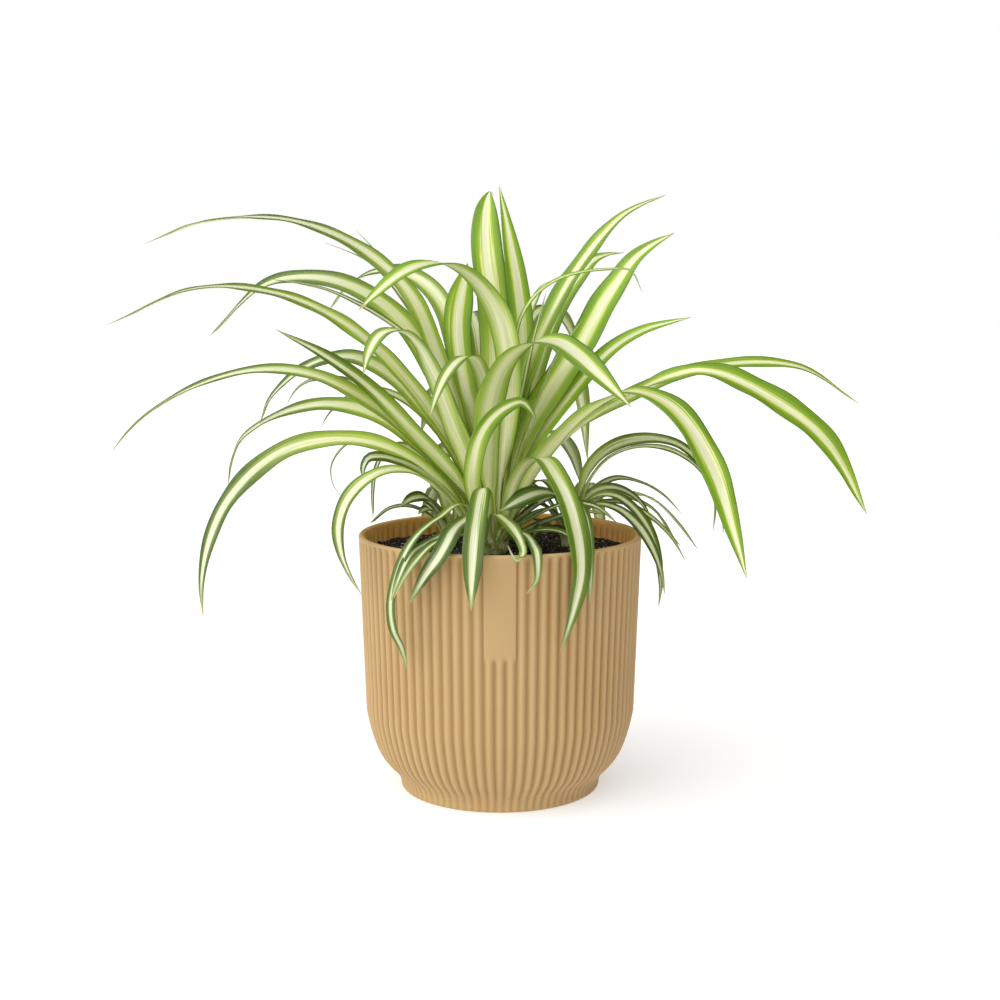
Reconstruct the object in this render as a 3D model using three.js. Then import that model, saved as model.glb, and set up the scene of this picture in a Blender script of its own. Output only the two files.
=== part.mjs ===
// A potted spider plant: a ribbed plastic pot, potting soil, one large rosette and two small ones.
// Millimetres, +Z up. The origin is the centre of the pot's underside, and the front faces -Y.
import * as THREE from 'three';

// ---- driving dimensions ----
const POT_HEIGHT = 130;
const RIM_RADIUS = 71;
const BODY_RADIUS = 67.9; // where the straight wall ends and the rounded lower body begins
const BODY_START = 41;
const LOWER_BEND = [2.6, 11]; // curve handle of the rounded body, out from and above the foot
const UPPER_BEND = [-5.6, -32.5]; // its other handle, in from and below the start of the straight wall
const FOOT_RADIUS = 50.6;
const FOOT_HEIGHT = 3.5;
const FOOT_BEVEL = 1;
const WALL = 3;
const LIP_ROUND = 1.5;
const RIB_COUNT = 83;
const RIB_DEPTH = 0.9;
const PANEL_RIBS = 3; // ribs left out at the front, where the wall is smooth
const PANEL_BOTTOM = 78;
const OUTSIDE_STEPS = 5; // straight stretches in the rounded body, outside and inside
const INSIDE_STEPS = 4;
const SOIL_TOP = 119;
const SOIL_CLEARANCE = 0.3;
const SOIL_MOUND = 1.4;
const SOIL_LEVEL_TO = 0.8; // share of its radius over which the soil lies level, before it falls away
const SOIL_SIDES = 48;
const CROWN_SIDES = 24;

const CROWN_SEAT = 0.3; // gap between the soil and a crown
const LEAF_SEAT = 0.3; // gap between a crown's skin and a leaf's base
const LEAF_THICKNESS = 0.9;
const THIN_TIP = 0.3; // most that a leaf is thick, as a share of its width, where it is narrow
const CHANNEL = 0.12; // how far a leaf's margins rise above its keel, as a share of its width
const BASE_SHARE = 0.28; // width of a leaf's base, as a share of its full width
const FULL_WIDTH_AT = 0.4; // share of its length where a leaf reaches its full width
const TAPER_FROM = 0.6; // share of its length where a leaf starts to narrow
const TWISTED_BY = 0.15; // share of its length by which a leaf has turned into its roll
const TAPER_POWER = 1.8;
const SEGMENT_LENGTH = 13;
const FEWEST_SEGMENTS = 12;

const CROWNS = {
  main: { at: [-4, 3], radius: 9.5, topRadius: 4, height: 38 },
  left: { at: [-26, 20], radius: 4.5, topRadius: 2, height: 20 },
  right: { at: [36, 22], radius: 5, topRadius: 2, height: 24 },
};

// Every leaf grows from a crown at the height `from`, on the side `side` (its own heading unless
// given), and arches along `heading`, in degrees from +X towards +Y. Its route is a list of
// [reach, height, drift]: distance from the crown's axis along the heading, height above the
// table, and drift across the heading. `roll` turns its face about its length, in degrees, near its
// base and at its tip. `widest` and `taper` are the shares of its length where it reaches its full
// width and where it starts to narrow, on the leaves that differ from the rest.
const LEAVES = {
  main: [
    // the long leaves that arch to the left
    { name: 'leaf_left_01', heading: 169, from: 147, side: 173, width: 12, taper: 0.5, roll: [-55, 0],
      route: [[14, 174], [26, 212], [41, 248], [66, 271], [104, 286], [152, 285], [182, 274]] },
    { name: 'leaf_left_02', heading: 185, from: 144, width: 12.5, taper: 0.5, roll: [-54, 0],
      route: [[14, 163], [30, 190], [61, 226], [100, 248], [145, 252], [188, 234]] },
    { name: 'leaf_left_03', heading: 162, from: 143, side: 160, width: 13, taper: 0.75, roll: [-50, -25],
      route: [[16, 172], [31, 211], [52, 239], [86, 256], [123, 254], [157, 226]] },
    { name: 'leaf_left_04', heading: 182, from: 150, width: 6, roll: [-40, -10],
      route: [[15, 183], [31, 217], [52, 236], [84, 252], [109, 256]] },
    { name: 'leaf_left_05', heading: 130, from: 149, side: 120, width: 11, taper: 0.75, roll: [-30, -25],
      route: [[12, 170], [24, 205], [36, 238], [52, 253], [78, 261], [103, 260], [125, 252], [143, 239]] },
    { name: 'leaf_left_06', heading: 194, from: 137, width: 11, roll: [-55, -40],
      route: [[16, 154], [45, 187], [64, 206], [84, 220], [107, 232]] },
    { name: 'leaf_left_07', heading: 189, from: 131, side: 192, width: 12, taper: 0.5, roll: [-55, 2],
      route: [[14, 146], [31, 170], [64, 198], [92, 211], [122, 212], [150, 203], [175, 187], [187, 172]] },
    { name: 'leaf_left_08', heading: 165, from: 140, width: 11, taper: 0.75, roll: [-40, -30],
      route: [[15, 161], [32, 188], [56, 210], [74, 217], [92, 215], [109, 205, 1], [120, 193, 2],
        [124, 182, 3]] },
    { name: 'leaf_left_09', heading: 167, from: 136, side: 162, width: 12, roll: [-50, -15],
      route: [[20, 156], [38, 174], [62, 189], [90, 193], [118, 185], [137, 170], [142, 148]] },
    { name: 'leaf_left_10', heading: 201, from: 129, side: 200, width: 14, roll: [-30, -25],
      route: [[19, 147], [46, 171], [76, 180], [107, 175], [135, 151], [147, 118], [147, 97]] },
    { name: 'leaf_left_11', heading: 216, from: 123, side: 218, width: 10, roll: [-15, -10],
      route: [[23, 145], [48, 164], [70, 164], [85, 153], [90, 138], [86, 121], [77, 106]] },
    { name: 'leaf_left_12', heading: 158, from: 130, width: 7, taper: 0.8, roll: [-30, -40],
      route: [[20, 151], [39, 167], [54, 171], [63, 164], [67, 148], [67, 133]] },
    { name: 'leaf_left_13', heading: 180, from: 126, width: 7, taper: 0.8, roll: [-30, -40],
      route: [[20, 147], [36, 161], [50, 167], [61, 168], [65, 162], [63, 154]] },

    // the leaves that stand in the middle, and the ones that fold over towards the viewer
    { name: 'leaf_top_01', heading: 90, from: 156, width: 16, taper: 0.7, roll: [0, 0],
      route: [[8, 182, -1], [13, 217, -2], [17, 250, 0], [21, 275, 3], [28, 293, 3], [38, 301, 1],
        [48, 299, -1]] },
    { name: 'leaf_top_02', heading: 75, from: 153, side: 60, width: 12, roll: [30, 35],
      route: [[11, 178, -5], [17, 202, -10], [19, 227, -11], [17, 252, -9], [15, 282, -4], [14, 302, 0]] },
    { name: 'leaf_top_03', heading: 150, from: 154, side: 142, width: 14, widest: 0.75, taper: 0.8,
      roll: [-56, -60], route: [[9, 178, -2], [17, 205, -1], [20, 235], [14, 264]] },
    { name: 'leaf_top_04', heading: 225, from: 152, side: 315, width: 15, taper: 0.7, roll: [40, -25],
      route: [[-1, 185, 9], [-3, 220, 8], [4, 246, 4], [22, 262], [44, 264], [66, 256], [86, 242]] },
    { name: 'leaf_front_01', heading: 212, from: 139, side: 215, width: 14, taper: 0.75, roll: [45, -20],
      route: [[14, 165], [23, 186], [33, 210], [45, 229], [56, 233], [66, 227], [72, 211]] },
    { name: 'leaf_front_02', heading: 240, from: 150, side: 230, width: 9, taper: 0.7, roll: [10, 0],
      route: [[5, 185], [8, 207], [20, 219], [34, 217], [48, 207], [58, 192]] },
    { name: 'leaf_front_03', heading: 320, from: 146, side: 262, width: 18, taper: 0.6, roll: [-40, 45],
      route: [[5, 172, -9], [8, 198, -10], [15, 217, -6], [29, 227, -2], [45, 226], [62, 215], [85, 197]] },
    { name: 'leaf_front_04', heading: 0, from: 136, side: 240, width: 9, roll: [70, 130],
      route: [[-9, 149, -14], [-9, 166, -22], [-4, 183, -26], [6, 194, -28], [15, 197, -26],
        [22, 187, -18]] },

    // the leaves that spill over the front of the rim
    { name: 'leaf_front_05', heading: 264, from: 131, width: 12, widest: 0.75, taper: 0.75, roll: [0, 0],
      route: [[22, 151], [42, 157], [60, 149], [75, 138], [84, 121], [88, 107]] },
    { name: 'leaf_front_06', heading: 253, from: 125, side: 250, width: 10, roll: [0, 0],
      route: [[20, 140], [45, 142], [64, 139], [77, 131, -1], [80, 120, -8], [80, 106, -16]] },
    { name: 'leaf_front_07', heading: 277, from: 125, width: 9.5, widest: 0.5, taper: 0.8, roll: [0, 0],
      route: [[21, 141, -1], [39, 142, 1], [56, 141, 2.5], [68, 138, 4], [77, 134, 5],
        [82, 129, 4], [84, 129, 1.5], [83, 132, -1], [82, 136, -2.5]] },
    { name: 'leaf_front_08', heading: 284, from: 122.5, width: 7, taper: 0.75, roll: [0, 0],
      route: [[24, 135, 2], [41, 136, 3], [56, 136, 3.5], [68, 134, 3], [79, 131, 2],
        [85, 124, 0.5], [86, 118, -1], [86, 114, -5]] },
    { name: 'leaf_front_09', heading: 238, from: 126, side: 234, width: 7, taper: 0.85, roll: [0, 0],
      route: [[25, 147], [48, 143], [64, 138], [75, 131], [84, 119], [88, 107], [86, 95],
        [79, 84], [75, 74]] },
    { name: 'leaf_front_10', heading: 247, from: 123, side: 241, width: 6.5, roll: [0, 0],
      route: [[24, 132], [46, 134], [66, 134, -1], [80, 130, -1.5], [90, 122, -4.5], [95, 112, -8]] },
    { name: 'leaf_front_11', heading: 302, from: 127, width: 15, widest: 0.6, roll: [0, 0],
      route: [[22, 158], [43, 172], [62, 161], [74, 144], [81, 124, -1], [81, 102, -6], [79, 84, -12]] },

    // the leaves that arch to the right
    { name: 'leaf_right_01', heading: 331, from: 131, side: 334, width: 16, taper: 0.65, roll: [-40, 60],
      route: [[21, 158], [39, 181], [57, 196], [76, 204], [98, 197], [117, 172], [129, 140], [136, 118]] },
    { name: 'leaf_right_02', heading: 357, from: 132, side: 358, width: 19, taper: 0.65, roll: [-40, 70],
      route: [[14, 155], [29, 171], [54, 192], [78, 205], [105, 212], [138, 199], [167, 176], [187, 140]] },
    { name: 'leaf_right_03', heading: 19, from: 134, side: 32, width: 9.5, taper: 0.75, roll: [42, 25],
      route: [[18, 158], [40, 180], [68, 194], [104, 208], [142, 213], [176, 209], [210, 189]] },
    { name: 'leaf_right_04', heading: 5, from: 140, width: 10, roll: [45, 40],
      route: [[15, 164], [34, 192], [59, 221], [76, 231], [100, 237]] },
    { name: 'leaf_right_05', heading: 10, from: 146, side: 0, width: 17, roll: [45, 40],
      route: [[16, 176], [30, 202], [45, 224], [60, 250], [75, 269], [93, 279]] },
    { name: 'leaf_right_06', heading: 24, from: 149, side: 14, width: 14, roll: [20, 10],
      route: [[11, 180], [20, 213], [35, 245], [54, 271], [75, 290], [98, 299]] },
    { name: 'leaf_right_07', heading: 42, from: 144, width: 12, taper: 0.7, roll: [25, 15],
      route: [[14, 172], [27, 204], [42, 237], [56, 254], [72, 267], [94, 270]] },
    { name: 'leaf_right_08', heading: 356, from: 150, side: 345, width: 5, roll: [20, 20],
      route: [[9, 190], [11, 222], [17, 243], [32, 256], [56, 261], [71, 259], [74, 250]] },

    // the leaves that arch away behind the plant
    { name: 'leaf_back_01', heading: 68, from: 139, side: 60, width: 14, roll: [0, 0],
      route: [[18, 166], [40, 200], [70, 222], [105, 218], [134, 194], [148, 150]] },
    { name: 'leaf_back_02', heading: 99, from: 137, side: 106, width: 14, roll: [0, 0],
      route: [[16, 162], [36, 196], [64, 215], [96, 209], [120, 184], [132, 150]] },
    { name: 'leaf_back_03', heading: 116, from: 133, width: 13, roll: [0, 0],
      route: [[16, 156], [33, 184], [54, 199], [74, 194], [90, 172]] },
    { name: 'leaf_back_04', heading: 58, from: 127, width: 12, roll: [0, 0],
      route: [[14, 146], [32, 168], [56, 177], [80, 165], [95, 140]] },
    { name: 'leaf_back_05', heading: 112, from: 125, width: 12, roll: [0, 0],
      route: [[14, 142], [32, 163], [56, 170], [78, 157], [92, 133]] },
    { name: 'leaf_back_06', heading: 80, from: 126, width: 11, roll: [0, 0],
      route: [[14, 143], [32, 161], [54, 167], [76, 154], [89, 132], [93, 108]] },
    { name: 'leaf_back_07', heading: 66, from: 147, width: 10, roll: [0, 0],
      route: [[12, 173], [27, 208], [47, 234], [75, 242], [105, 230], [125, 206]] },
    { name: 'leaf_back_08', heading: 101, from: 141, width: 11, roll: [0, 0],
      route: [[12, 172], [25, 206], [43, 231], [69, 239], [97, 227], [117, 201]] },
  ],
  left: [
    { name: 'small_left_leaf_01', heading: 186, from: 128, width: 8, widest: 0.5, taper: 0.7, roll: [0, 0],
      route: [[10, 136], [20, 141], [31, 140], [41, 132]] },
    { name: 'small_left_leaf_02', heading: 160, from: 132, width: 10, roll: [0, 0],
      route: [[8, 140], [16, 144], [25, 141]] },
    { name: 'small_left_leaf_03', heading: 105, from: 130, width: 8, roll: [0, 0],
      route: [[10, 140], [24, 147], [40, 142], [53, 127], [58, 106]] },
  ],
  right: [
    { name: 'small_right_leaf_01', heading: 4, from: 138, width: 10, roll: [35, 20],
      route: [[9, 158], [20, 170], [38, 175], [56, 172], [69, 160], [76, 142], [75, 126]] },
    { name: 'small_right_leaf_02', heading: 6, from: 134, width: 8, roll: [25, 15],
      route: [[10, 146], [20, 150], [31, 147], [40, 138], [45, 119]] },
    { name: 'small_right_leaf_03', heading: 335, from: 128, width: 8, roll: [20, 10],
      route: [[12, 145], [26, 147], [40, 136], [48, 120], [50, 103], [49, 91]] },
    { name: 'small_right_leaf_04', heading: 318, from: 127, width: 7, roll: [15, 5],
      route: [[12, 141], [26, 143], [36, 140], [46, 133], [54, 123], [59, 112], [61, 102]] },
    { name: 'small_right_leaf_05', heading: 22, from: 131, width: 5, roll: [0, 0],
      route: [[14, 143], [30, 147], [49, 141], [64, 127], [76, 112]] },
    { name: 'small_right_leaf_06', heading: 276, from: 131, width: 6.5, roll: [0, 0],
      route: [[14, 141, -2], [34, 147, -3], [54, 147, -3], [70, 143, -3], [81, 134, -3],
        [86, 119, -3], [85, 106, -3]] },
    { name: 'small_right_leaf_07', heading: 220, from: 134, side: 250, width: 11, widest: 0.65,
      taper: 0.7, roll: [-15, -35], route: [[14, 147, 7], [29, 151.3, 12], [42, 149.3, 12], [54, 143, 8]] },
    { name: 'small_right_leaf_08', heading: 70, from: 130, width: 8, roll: [0, 0],
      route: [[12, 142], [27, 149], [43, 142], [55, 126], [60, 106]] },
  ],
};

// ---- materials ----
const potPlastic = new THREE.MeshStandardMaterial({ color: 0xcbab72, roughness: 0.62, metalness: 0 });
const pottingSoil = new THREE.MeshStandardMaterial({ color: 0x1d1715, roughness: 0.95, metalness: 0 });
const crownGreen = new THREE.MeshStandardMaterial({ color: 0xb9c98a, roughness: 0.5, metalness: 0 });
const leafGreen = new THREE.MeshStandardMaterial({ color: 0x7fa640, roughness: 0.45, metalness: 0 });

const plant = new THREE.Group();

function addPiece(name, geometry, material) {
  const piece = new THREE.Mesh(geometry, material.clone());
  piece.name = name;
  plant.add(piece);
}

const radians = THREE.MathUtils.degToRad;

// ---- the pot: one moulded shell, turned and then ribbed ----
// The wall's outside: a foot, a rounded lower body and a straight wall that widens to the rim.
// `inset` moves it inwards, and `steps` says how finely the rounded part is drawn.
function wallOutline(inset, steps) {
  const roundedBody = new THREE.CubicBezierCurve(
    new THREE.Vector2(FOOT_RADIUS - inset, FOOT_HEIGHT + inset),
    new THREE.Vector2(FOOT_RADIUS + LOWER_BEND[0] - inset, FOOT_HEIGHT + LOWER_BEND[1] + inset),
    new THREE.Vector2(BODY_RADIUS + UPPER_BEND[0] - inset, BODY_START + UPPER_BEND[1] + inset),
    new THREE.Vector2(BODY_RADIUS - inset, BODY_START),
  );
  return roundedBody.getPoints(steps);
}

// The wall's outer radius at a height above the rounded body.
function wallRadius(height) {
  const rise = (height - BODY_START) / (POT_HEIGHT - BODY_START);
  return BODY_RADIUS + (RIM_RADIUS - BODY_RADIUS) * rise;
}

function potProfile() {
  const outside = wallOutline(0, OUTSIDE_STEPS);
  const inside = wallOutline(WALL, INSIDE_STEPS).reverse();
  return [
    new THREE.Vector2(0, 0),
    new THREE.Vector2(FOOT_RADIUS - FOOT_BEVEL, 0),
    new THREE.Vector2(FOOT_RADIUS, FOOT_BEVEL),
    ...outside,
    new THREE.Vector2(wallRadius(PANEL_BOTTOM), PANEL_BOTTOM),
    new THREE.Vector2(RIM_RADIUS, POT_HEIGHT - LIP_ROUND),
    new THREE.Vector2(RIM_RADIUS - WALL / 2, POT_HEIGHT),
    new THREE.Vector2(RIM_RADIUS - WALL, POT_HEIGHT - LIP_ROUND),
    ...inside,
    new THREE.Vector2(0, FOOT_HEIGHT + WALL),
  ];
}

// Presses grooves between the ribs into the outer wall, except across the smooth front panel.
function pressRibs(geometry) {
  const position = geometry.getAttribute('position');
  const pitch = (2 * Math.PI) / RIB_COUNT;
  const panelHalf = (PANEL_RIBS * pitch) / 2;
  for (let i = 0; i < position.count; i += 1) {
    const x = position.getX(i);
    const y = position.getY(i);
    const z = position.getZ(i);
    const radius = Math.hypot(x, y);
    const outerWall = z > FOOT_HEIGHT + 1 && z < POT_HEIGHT - LIP_ROUND - 0.1 && isOuter(radius, z);
    const fromFront = Math.atan2(x, -y);
    const halfRibs = Math.round((2 * fromFront) / pitch); // even on a rib's crest, odd in a groove
    const onPanel = Math.abs(fromFront) < panelHalf - 0.01 && z > PANEL_BOTTOM - 0.1;
    if (outerWall && halfRibs % 2 !== 0 && !onPanel) {
      const pressed = (radius - RIB_DEPTH) / radius;
      position.setXY(i, x * pressed, y * pressed);
    }
  }
  position.needsUpdate = true;
}

// True for a point on the outside of the wall, false for one on its inside.
function isOuter(radius, z) {
  if (z >= BODY_START) return radius > wallRadius(z) - WALL / 2;
  const outline = wallOutline(WALL / 2, 24);
  const nearest = outline.reduce((a, b) => (Math.abs(b.y - z) < Math.abs(a.y - z) ? b : a));
  return radius > nearest.x;
}

function potGeometry() {
  const geometry = new THREE.LatheGeometry(potProfile(), RIB_COUNT * 2);
  geometry.rotateX(Math.PI / 2);
  pressRibs(geometry);
  return geometry;
}

// ---- the soil: fills the pot to just under the rim, slightly heaped in the middle ----
function soilGeometry() {
  const clear = WALL + SOIL_CLEARANCE;
  const topRadius = wallRadius(SOIL_TOP) - clear;
  const profile = [
    new THREE.Vector2(0, FOOT_HEIGHT + clear),
    ...wallOutline(clear, INSIDE_STEPS),
    new THREE.Vector2(topRadius, SOIL_TOP - SOIL_MOUND),
    new THREE.Vector2(topRadius * SOIL_LEVEL_TO, SOIL_TOP),
    new THREE.Vector2(0, SOIL_TOP),
  ];
  const geometry = new THREE.LatheGeometry(profile, SOIL_SIDES);
  geometry.rotateX(Math.PI / 2);
  return geometry;
}

// ---- the crowns: short stems that the leaves grow from ----
function crownRadius(crown, height) {
  const rise = (height - SOIL_TOP) / crown.height;
  return crown.radius + (crown.topRadius - crown.radius) * rise;
}

function crownGeometry(crown) {
  const geometry = new THREE.CylinderGeometry(crown.topRadius, crown.radius, crown.height, CROWN_SIDES);
  geometry.rotateX(Math.PI / 2);
  geometry.translate(crown.at[0], crown.at[1], SOIL_TOP + CROWN_SEAT + crown.height / 2);
  return geometry;
}

// ---- the leaves: channelled blades that taper to a fine tip ----
function leafRoute(crown, leaf) {
  const [cx, cy] = crown.at;
  const heading = radians(leaf.heading);
  const side = radians(leaf.side ?? leaf.heading);
  const seat = crownRadius(crown, leaf.from) + LEAF_SEAT + LEAF_THICKNESS / 2;
  const base = new THREE.Vector3(cx + seat * Math.cos(side), cy + seat * Math.sin(side), leaf.from);
  const rest = leaf.route.map(([reach, height, drift = 0]) => new THREE.Vector3(
    cx + reach * Math.cos(heading) - drift * Math.sin(heading),
    cy + reach * Math.sin(heading) + drift * Math.cos(heading),
    height,
  ));
  return new THREE.CatmullRomCurve3([base, ...rest], false, 'centripetal');
}

// A leaf's width at a share of its length, from its base at 0 to its tip at 1.
function widthAt(leaf, share) {
  const swell = Math.sin((Math.PI / 2) * Math.min(share / (leaf.widest ?? FULL_WIDTH_AT), 1));
  const base = BASE_SHARE + (1 - BASE_SHARE) * swell;
  const from = leaf.taper ?? TAPER_FROM;
  const past = Math.max(share - from, 0) / (1 - from);
  return leaf.width * base * (1 - past ** TAPER_POWER);
}

// The four corners of a leaf's section: margin, keel top, margin, keel bottom. A leaf leaves its
// crown square to it, and turns to its own heading and roll over its first few centimetres.
function leafSection(curve, leaf, share) {
  const centre = curve.getPointAt(share);
  const along = curve.getTangentAt(share);
  const turned = Math.min(share / TWISTED_BY, 1);
  const facing = radians(THREE.MathUtils.lerp(leaf.side ?? leaf.heading, leaf.heading, turned));
  const across = new THREE.Vector3(-Math.sin(facing), Math.cos(facing), 0);
  across.addScaledVector(along, -across.dot(along)).normalize();
  across.applyAxisAngle(along, radians(THREE.MathUtils.lerp(...leaf.roll, share)) * turned);
  const up = new THREE.Vector3().crossVectors(along, across).normalize();
  const width = widthAt(leaf, share);
  const corner = (out, rise) => centre.clone().addScaledVector(across, out).addScaledVector(up, rise);
  const thick = Math.min(LEAF_THICKNESS, width * THIN_TIP) / 2;
  const lift = (width * CHANNEL) / 2;
  return [
    corner(width / 2, lift),
    corner(0, thick - lift),
    corner(-width / 2, lift),
    corner(0, -thick - lift),
  ];
}

function leafGeometry(crown, leaf) {
  const curve = leafRoute(crown, leaf);
  const segments = Math.max(FEWEST_SEGMENTS, Math.round(curve.getLength() / SEGMENT_LENGTH));
  const points = [];
  for (let i = 0; i < segments; i += 1) {
    points.push(...leafSection(curve, leaf, i / segments));
  }
  const tip = points.length;
  points.push(curve.getPointAt(1));

  // Above and below, each stretch is split from its margin to the keel, so that a twisted leaf
  // doesn't cut through itself.
  const faces = [[0, 2, 1], [0, 3, 2]];
  for (let ring = 0; ring < segments - 1; ring += 1) {
    for (let k = 0; k < 4; k += 1) {
      const a = ring * 4 + k;
      const b = ring * 4 + ((k + 1) % 4);
      const fromMargin = k % 2 === 0;
      faces.push(...(fromMargin ? [[a, b, b + 4], [a, b + 4, a + 4]] : [[a, b, a + 4], [b, b + 4, a + 4]]));
    }
  }
  const last = (segments - 1) * 4;
  for (let k = 0; k < 4; k += 1) {
    faces.push([last + k, last + ((k + 1) % 4), tip]);
  }

  const geometry = new THREE.BufferGeometry().setFromPoints(points);
  geometry.setIndex(faces.flat());
  geometry.computeVertexNormals();
  return geometry;
}

// ---- assembly ----
addPiece('pot', potGeometry(), potPlastic);
addPiece('soil', soilGeometry(), pottingSoil);
for (const [place, crown] of Object.entries(CROWNS)) {
  addPiece(`crown_${place}`, crownGeometry(crown), crownGreen);
  for (const leaf of LEAVES[place]) {
    addPiece(leaf.name, leafGeometry(crown, leaf), leafGreen);
  }
}

export default plant;
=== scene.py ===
import math
import random

import bmesh
import bpy
import numpy as np
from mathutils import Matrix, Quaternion, Vector, noise


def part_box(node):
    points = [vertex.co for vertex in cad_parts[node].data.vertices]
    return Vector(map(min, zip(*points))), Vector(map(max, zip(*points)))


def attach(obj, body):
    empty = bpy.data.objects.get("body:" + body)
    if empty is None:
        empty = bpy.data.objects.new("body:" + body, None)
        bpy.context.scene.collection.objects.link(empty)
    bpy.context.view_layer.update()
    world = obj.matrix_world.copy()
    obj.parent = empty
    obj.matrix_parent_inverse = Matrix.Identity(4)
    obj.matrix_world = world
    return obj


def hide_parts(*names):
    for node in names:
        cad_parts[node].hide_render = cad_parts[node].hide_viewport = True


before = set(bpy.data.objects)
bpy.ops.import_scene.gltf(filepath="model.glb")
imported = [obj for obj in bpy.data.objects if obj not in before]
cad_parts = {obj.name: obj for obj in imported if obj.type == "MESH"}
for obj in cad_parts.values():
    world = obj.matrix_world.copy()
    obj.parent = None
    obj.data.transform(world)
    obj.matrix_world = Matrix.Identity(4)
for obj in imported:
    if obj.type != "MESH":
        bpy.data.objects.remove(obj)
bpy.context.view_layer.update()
MM = 0.001

# ---- the studio ----
# A white floor under soft light from the upper left. The surround grows dim and warm on its other side.
# It is seen from 0.8 m in front of the pot's axis, from just above the middle of the leaves and looking
# slightly down.
CAMERA_AT = (0.0, -0.812, 0.257)
CAMERA_LOOKS_DOWN = math.radians(7.77)
CAMERA_LENS = 58.8
CAMERA_SENSOR = 36
FLOOR_SIDE = 14.0
SURROUND_WHITE = "#FFFFFF"
SURROUND_WARM = "#B27B3A"  # the surround's colour on the side away from the light
FLOOR_WHITE = "#CDCDCD"
FLOOR_GLOW = 0.5
LIGHT_FROM = Vector((-0.60, -0.48, 0.64)).normalized()
SURROUND_BRIGHT = 2.1  # strength of the white surround on the side that the light comes from
SURROUND_DIM = 0.04  # its strength on the other side
SURROUND_DIMMEST = -0.6  # cosine of the angle from the light past which it gets no dimmer
SURROUND_GATHER = 1.7  # how strongly its brightness gathers towards the light
WARM_UNTIL = 0.2  # share of the way round to the light up to which it is warm
WHITE_FROM = 0.6  # and from which it is white
SUN_STRENGTH = 0.4
SUN_SPREAD = math.radians(55)


def colour(code):
    """An sRGB hex value as linear red, green, blue and alpha."""
    shares = [int(code[i:i + 2], 16) / 255 for i in (1, 3, 5)]
    linear = [s / 12.92 if s <= 0.04045 else ((s + 0.055) / 1.055) ** 2.4 for s in shares]
    return (*linear, 1.0)


def add(tree, kind, inputs=None, stops=None, **settings):
    """Adds a node with its settings. Each input is a value, or the socket that feeds it."""
    node = tree.nodes.new(kind)
    for setting, value in settings.items():
        setattr(node, setting, value)
    for socket, value in (inputs or {}).items():
        if isinstance(value, bpy.types.NodeSocket):
            tree.links.new(value, node.inputs[socket])
        else:
            node.inputs[socket].default_value = value
    for index, (place, code) in enumerate(stops or []):
        ramp = node.color_ramp.elements
        stop = ramp[index] if index < 2 else ramp.new(place)
        stop.position = place
        stop.color = colour(code)
    return node


def new_finish(name):
    """A material with an empty node tree."""
    finish = bpy.data.materials.new(name)
    finish.use_nodes = True
    finish.node_tree.nodes.clear()
    return finish, finish.node_tree


def painted_floor():
    """Matt white paint: nothing for the eye but the plant's own soft shadow."""
    finish, tree = new_finish("matt_white_floor_paint")
    skin = add(tree, "ShaderNodeBsdfPrincipled", {
        "Base Color": colour(FLOOR_WHITE), "Roughness": 1.0, "Specular IOR Level": 0.0,
        "Emission Color": colour(SURROUND_WHITE), "Emission Strength": FLOOR_GLOW})
    add(tree, "ShaderNodeOutputMaterial", {"Surface": skin.outputs["BSDF"]})
    return finish


camera_data = bpy.data.cameras.new("camera")
camera_data.lens = CAMERA_LENS
camera_data.sensor_width = CAMERA_SENSOR
camera = bpy.data.objects.new("camera", camera_data)
camera.location = CAMERA_AT
camera.rotation_euler = (math.pi / 2 - CAMERA_LOOKS_DOWN, 0, 0)
bpy.context.collection.objects.link(camera)
bpy.context.scene.camera = camera
bpy.context.scene.view_settings.view_transform = "Standard"

world = bpy.data.worlds.new("white_surround")
world.use_nodes = True
world.node_tree.nodes.clear()
looking = add(world.node_tree, "ShaderNodeTexCoord").outputs["Generated"]
towards_light = add(world.node_tree, "ShaderNodeVectorMath", {
    0: looking, 1: LIGHT_FROM}, operation="DOT_PRODUCT")
nearness = add(world.node_tree, "ShaderNodeMapRange", {
    "Value": towards_light.outputs["Value"], "From Min": SURROUND_DIMMEST, "From Max": 1.0})
gathered = add(world.node_tree, "ShaderNodeMath", {
    0: nearness.outputs[0], 1: SURROUND_GATHER}, operation="POWER")
strength = add(world.node_tree, "ShaderNodeMapRange", {
    "Value": gathered.outputs[0], "To Min": SURROUND_DIM, "To Max": SURROUND_BRIGHT})
warmth = add(world.node_tree, "ShaderNodeValToRGB", {"Fac": nearness.outputs[0]},
             stops=[(WARM_UNTIL, SURROUND_WARM), (WHITE_FROM, SURROUND_WHITE)])
light = add(world.node_tree, "ShaderNodeBackground", {
    "Color": warmth.outputs["Color"], "Strength": strength.outputs[0]})
backdrop = add(world.node_tree, "ShaderNodeBackground", {"Color": colour(SURROUND_WHITE), "Strength": 1.0})
seen = add(world.node_tree, "ShaderNodeLightPath").outputs["Is Camera Ray"]
surround = add(world.node_tree, "ShaderNodeMixShader", {
    0: seen, 1: light.outputs["Background"], 2: backdrop.outputs["Background"]})
add(world.node_tree, "ShaderNodeOutputWorld", {"Surface": surround.outputs["Shader"]})
bpy.context.scene.world = world

sun_data = bpy.data.lights.new("sun", "SUN")
sun_data.energy = SUN_STRENGTH
sun_data.angle = SUN_SPREAD
sun = bpy.data.objects.new("sun", sun_data)
sun.rotation_euler = LIGHT_FROM.to_track_quat("Z", "Y").to_euler()
bpy.context.collection.objects.link(sun)

bpy.ops.object.select_all(action="DESELECT")
bpy.ops.mesh.primitive_plane_add(size=FLOOR_SIDE)
floor = bpy.context.object
floor.name = "studio_floor"
floor.data.materials.append(painted_floor())

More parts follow.
